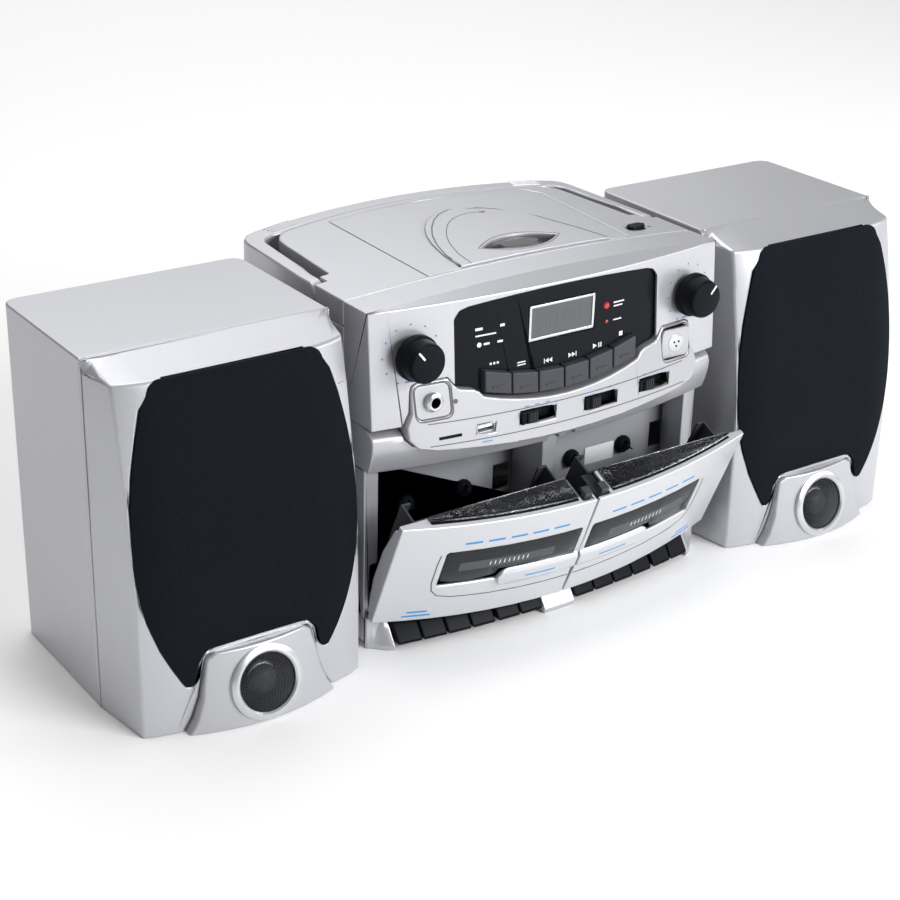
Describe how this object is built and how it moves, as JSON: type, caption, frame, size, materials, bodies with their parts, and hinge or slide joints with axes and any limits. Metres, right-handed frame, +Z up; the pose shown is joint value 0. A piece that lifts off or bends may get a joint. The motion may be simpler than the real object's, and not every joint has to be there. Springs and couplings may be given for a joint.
{
  "type": "three-piece portable stereo",
  "caption": "Silver portable stereo with a top-loading disc player, radio controls, twin cassette decks, a folding handle and two lift-off speakers.",
  "frame": {"origin": "underside of the main unit at its middle, in the plane of the seam between its front and rear cabinet", "axes": "+X to the right as the user faces the front, +Y towards the back, +Z up"},
  "size_m": [0.5812, 0.2318, 0.2203],
  "materials": {
    "cabinet": "satin",
    "cover": "satin",
    "fascia": "satin",
    "control": "gloss",
    "display": "gloss",
    "frame": "satin",
    "plate": "matte",
    "tub": "matte",
    "board": "matte",
    "transformer": "satin",
    "jack": "satin",
    "inlet": "matte",
    "knob": "satin",
    "button": "satin",
    "switch": "matte",
    "door": "satin",
    "holder": "matte",
    "spindle": "satin",
    "key": "satin",
    "antenna": "gloss",
    "speaker_shell": "satin",
    "speaker_front": "satin",
    "cloth": "matte",
    "pod": "satin",
    "cone": "matte"
  },
  "bodies": {
    "main_unit": {"rear_cabinet": "cabinet", "top_cover": "cover", "front_fascia": "fascia", "control_panel": "control", "display_panel": "display", "deck_frame": "frame", "deck_plate": "plate", "cd_deck": "tub", "circuit_board": "board", "power_transformer": "transformer", "headphone_jack": "jack", "ac_inlet": "inlet"},
    "handle": {"handle": "cover"},
    "cd_door": {"cd_door": "cover"},
    "cd_open_button": {"cd_open_button": "knob"},
    "cd_turntable": {"cd_turntable": "tub"},
    "cd_pickup": {"cd_pickup": "tub"},
    "volume_knob": {"volume_knob": "knob"},
    "tuning_knob": {"tuning_knob": "knob"},
    "cd_button_1": {"cd_button_1": "button"},
    "cd_button_2": {"cd_button_2": "button"},
    "cd_button_3": {"cd_button_3": "button"},
    "cd_button_4": {"cd_button_4": "button"},
    "cd_button_5": {"cd_button_5": "button"},
    "cd_button_6": {"cd_button_6": "button"},
    "function_switch": {"function_switch": "switch"},
    "dubbing_switch": {"dubbing_switch": "switch"},
    "band_switch": {"band_switch": "switch"},
    "left_deck_door": {"left_deck_door": "door", "left_cassette_holder": "holder"},
    "left_spindle_a": {"left_spindle_a": "spindle"},
    "left_spindle_b": {"left_spindle_b": "spindle"},
    "left_key_1": {"left_key_1": "key"},
    "left_key_2": {"left_key_2": "key"},
    "left_key_3": {"left_key_3": "key"},
    "left_key_4": {"left_key_4": "key"},
    "left_key_5": {"left_key_5": "key"},
    "left_key_6": {"left_key_6": "key"},
    "right_deck_door": {"right_deck_door": "door", "right_cassette_holder": "holder"},
    "right_spindle_a": {"right_spindle_a": "spindle"},
    "right_spindle_b": {"right_spindle_b": "spindle"},
    "right_key_1": {"right_key_1": "key"},
    "right_key_2": {"right_key_2": "key"},
    "right_key_3": {"right_key_3": "key"},
    "right_key_4": {"right_key_4": "key"},
    "right_key_5": {"right_key_5": "key"},
    "right_key_6": {"right_key_6": "key"},
    "antenna_mast": {"antenna_mast": "antenna"},
    "antenna_tip": {"antenna_tip": "antenna"},
    "left_speaker": {"left_speaker_cabinet": "speaker_shell", "left_speaker_baffle": "speaker_front", "left_grille": "cloth", "left_tweeter_pod": "pod", "left_woofer": "cone"},
    "right_speaker": {"right_speaker_cabinet": "speaker_shell", "right_speaker_baffle": "speaker_front", "right_grille": "cloth", "right_tweeter_pod": "pod", "right_woofer": "cone"}
  },
  "joints": [
    {"name": "handle_fold", "type": "hinge", "parent": "main_unit", "child": "handle", "pos_m": [0, 0.04, 0.2063], "axis": [1, 0, 0], "range_deg": [0, 90]},
    {"name": "cd_door_lift", "type": "hinge", "parent": "main_unit", "child": "cd_door", "pos_m": [0, 0.1246, 0.2194], "axis": [-1, 0, 0], "range_deg": [0, 60]},
    {"name": "cd_open_press", "type": "slide", "parent": "main_unit", "child": "cd_open_button", "axis": [0, 0, -1], "range_m": [0, 0.0015], "stiffness_N_per_m": 300},
    {"name": "disc_spin", "type": "hinge", "parent": "main_unit", "child": "cd_turntable", "pos_m": [0.012, 0.063, 0.2], "axis": [0, 0, 1], "continuous": true},
    {"name": "laser_travel", "type": "slide", "parent": "main_unit", "child": "cd_pickup", "axis": [1, 0, 0], "range_m": [0, 0.033]},
    {"name": "volume_turn", "type": "hinge", "parent": "main_unit", "child": "volume_knob", "pos_m": [-0.103, -0.035, 0.1865], "axis": [0, 1, 0], "range_deg": [-150, 150]},
    {"name": "tuning_turn", "type": "hinge", "parent": "main_unit", "child": "tuning_knob", "pos_m": [0.103, -0.035, 0.1865], "axis": [0, 1, 0], "range_deg": [-150, 150]},
    {"name": "cd_button_1_press", "type": "slide", "parent": "main_unit", "child": "cd_button_1", "axis": [0, 1, 0], "range_m": [0, 0.0012], "stiffness_N_per_m": 300},
    {"name": "cd_button_2_press", "type": "slide", "parent": "main_unit", "child": "cd_button_2", "axis": [0, 1, 0], "range_m": [0, 0.0012], "stiffness_N_per_m": 300},
    {"name": "cd_button_3_press", "type": "slide", "parent": "main_unit", "child": "cd_button_3", "axis": [0, 1, 0], "range_m": [0, 0.0012], "stiffness_N_per_m": 300},
    {"name": "cd_button_4_press", "type": "slide", "parent": "main_unit", "child": "cd_button_4", "axis": [0, 1, 0], "range_m": [0, 0.0012], "stiffness_N_per_m": 300},
    {"name": "cd_button_5_press", "type": "slide", "parent": "main_unit", "child": "cd_button_5", "axis": [0, 1, 0], "range_m": [0, 0.0012], "stiffness_N_per_m": 300},
    {"name": "cd_button_6_press", "type": "slide", "parent": "main_unit", "child": "cd_button_6", "axis": [0, 1, 0], "range_m": [0, 0.0012], "stiffness_N_per_m": 300},
    {"name": "function_slide", "type": "slide", "parent": "main_unit", "child": "function_switch", "axis": [1, 0, 0], "range_m": [0, 0.0135]},
    {"name": "dubbing_slide", "type": "slide", "parent": "main_unit", "child": "dubbing_switch", "axis": [1, 0, 0], "range_m": [0, 0.0135]},
    {"name": "band_slide", "type": "slide", "parent": "main_unit", "child": "band_switch", "axis": [1, 0, 0], "range_m": [0, 0.0135]},
    {"name": "left_deck_open", "type": "hinge", "parent": "main_unit", "child": "left_deck_door", "pos_m": [-0.06, -0.006, 0.009], "axis": [1, 0, 0], "range_deg": [-24, 0]},
    {"name": "left_spindle_a_spin", "type": "hinge", "parent": "main_unit", "child": "left_spindle_a", "pos_m": [-0.0849, 0, 0.0749], "axis": [0, 1, 0], "continuous": true},
    {"name": "left_spindle_b_spin", "type": "hinge", "parent": "main_unit", "child": "left_spindle_b", "pos_m": [-0.0424, 0, 0.0749], "axis": [0, 1, 0], "continuous": true},
    {"name": "left_key_1_press", "type": "hinge", "parent": "main_unit", "child": "left_key_1", "pos_m": [-0.10613, -0.016, 0.0085], "axis": [1, 0, 0], "range_deg": [0, 5], "stiffness_Nm_per_rad": 0.8},
    {"name": "left_key_2_press", "type": "hinge", "parent": "main_unit", "child": "left_key_2", "pos_m": [-0.0894, -0.016, 0.0085], "axis": [1, 0, 0], "range_deg": [0, 5], "stiffness_Nm_per_rad": 0.8},
    {"name": "left_key_3_press", "type": "hinge", "parent": "main_unit", "child": "left_key_3", "pos_m": [-0.07267, -0.016, 0.0085], "axis": [1, 0, 0], "range_deg": [0, 5], "stiffness_Nm_per_rad": 0.8},
    {"name": "left_key_4_press", "type": "hinge", "parent": "main_unit", "child": "left_key_4", "pos_m": [-0.05593, -0.016, 0.0085], "axis": [1, 0, 0], "range_deg": [0, 5], "stiffness_Nm_per_rad": 0.8},
    {"name": "left_key_5_press", "type": "hinge", "parent": "main_unit", "child": "left_key_5", "pos_m": [-0.0376, -0.016, 0.0085], "axis": [1, 0, 0], "range_deg": [0, 5], "stiffness_Nm_per_rad": 0.8},
    {"name": "left_key_6_press", "type": "hinge", "parent": "main_unit", "child": "left_key_6", "pos_m": [-0.02087, -0.016, 0.0085], "axis": [1, 0, 0], "range_deg": [0, 5], "stiffness_Nm_per_rad": 0.8},
    {"name": "right_deck_open", "type": "hinge", "parent": "main_unit", "child": "right_deck_door", "pos_m": [0.06, -0.006, 0.009], "axis": [1, 0, 0], "range_deg": [-24, 0]},
    {"name": "right_spindle_a_spin", "type": "hinge", "parent": "main_unit", "child": "right_spindle_a", "pos_m": [0.0424, 0, 0.0749], "axis": [0, 1, 0], "continuous": true},
    {"name": "right_spindle_b_spin", "type": "hinge", "parent": "main_unit", "child": "right_spindle_b", "pos_m": [0.0849, 0, 0.0749], "axis": [0, 1, 0], "continuous": true},
    {"name": "right_key_1_press", "type": "hinge", "parent": "main_unit", "child": "right_key_1", "pos_m": [0.02087, -0.016, 0.0085], "axis": [1, 0, 0], "range_deg": [0, 5], "stiffness_Nm_per_rad": 0.8},
    {"name": "right_key_2_press", "type": "hinge", "parent": "main_unit", "child": "right_key_2", "pos_m": [0.0376, -0.016, 0.0085], "axis": [1, 0, 0], "range_deg": [0, 5], "stiffness_Nm_per_rad": 0.8},
    {"name": "right_key_3_press", "type": "hinge", "parent": "main_unit", "child": "right_key_3", "pos_m": [0.05433, -0.016, 0.0085], "axis": [1, 0, 0], "range_deg": [0, 5], "stiffness_Nm_per_rad": 0.8},
    {"name": "right_key_4_press", "type": "hinge", "parent": "main_unit", "child": "right_key_4", "pos_m": [0.07107, -0.016, 0.0085], "axis": [1, 0, 0], "range_deg": [0, 5], "stiffness_Nm_per_rad": 0.8},
    {"name": "right_key_5_press", "type": "hinge", "parent": "main_unit", "child": "right_key_5", "pos_m": [0.0894, -0.016, 0.0085], "axis": [1, 0, 0], "range_deg": [0, 5], "stiffness_Nm_per_rad": 0.8},
    {"name": "right_key_6_press", "type": "hinge", "parent": "main_unit", "child": "right_key_6", "pos_m": [0.10613, -0.016, 0.0085], "axis": [1, 0, 0], "range_deg": [0, 5], "stiffness_Nm_per_rad": 0.8},
    {"name": "antenna_raise", "type": "hinge", "parent": "main_unit", "child": "antenna_mast", "pos_m": [0.116, 0.1472, 0.186], "axis": [0, 1, 0], "range_deg": [0, 180]},
    {"name": "antenna_extend", "type": "slide", "parent": "antenna_mast", "child": "antenna_tip", "axis": [-1, 0, 0], "range_m": [0, 0.15]},
    {"name": "left_speaker_lift", "type": "slide", "parent": "main_unit", "child": "left_speaker", "axis": [0, 0, 1], "range_m": [0, 0.2]},
    {"name": "right_speaker_lift", "type": "slide", "parent": "main_unit", "child": "right_speaker", "axis": [0, 0, 1], "range_m": [0, 0.2]}
  ]
}
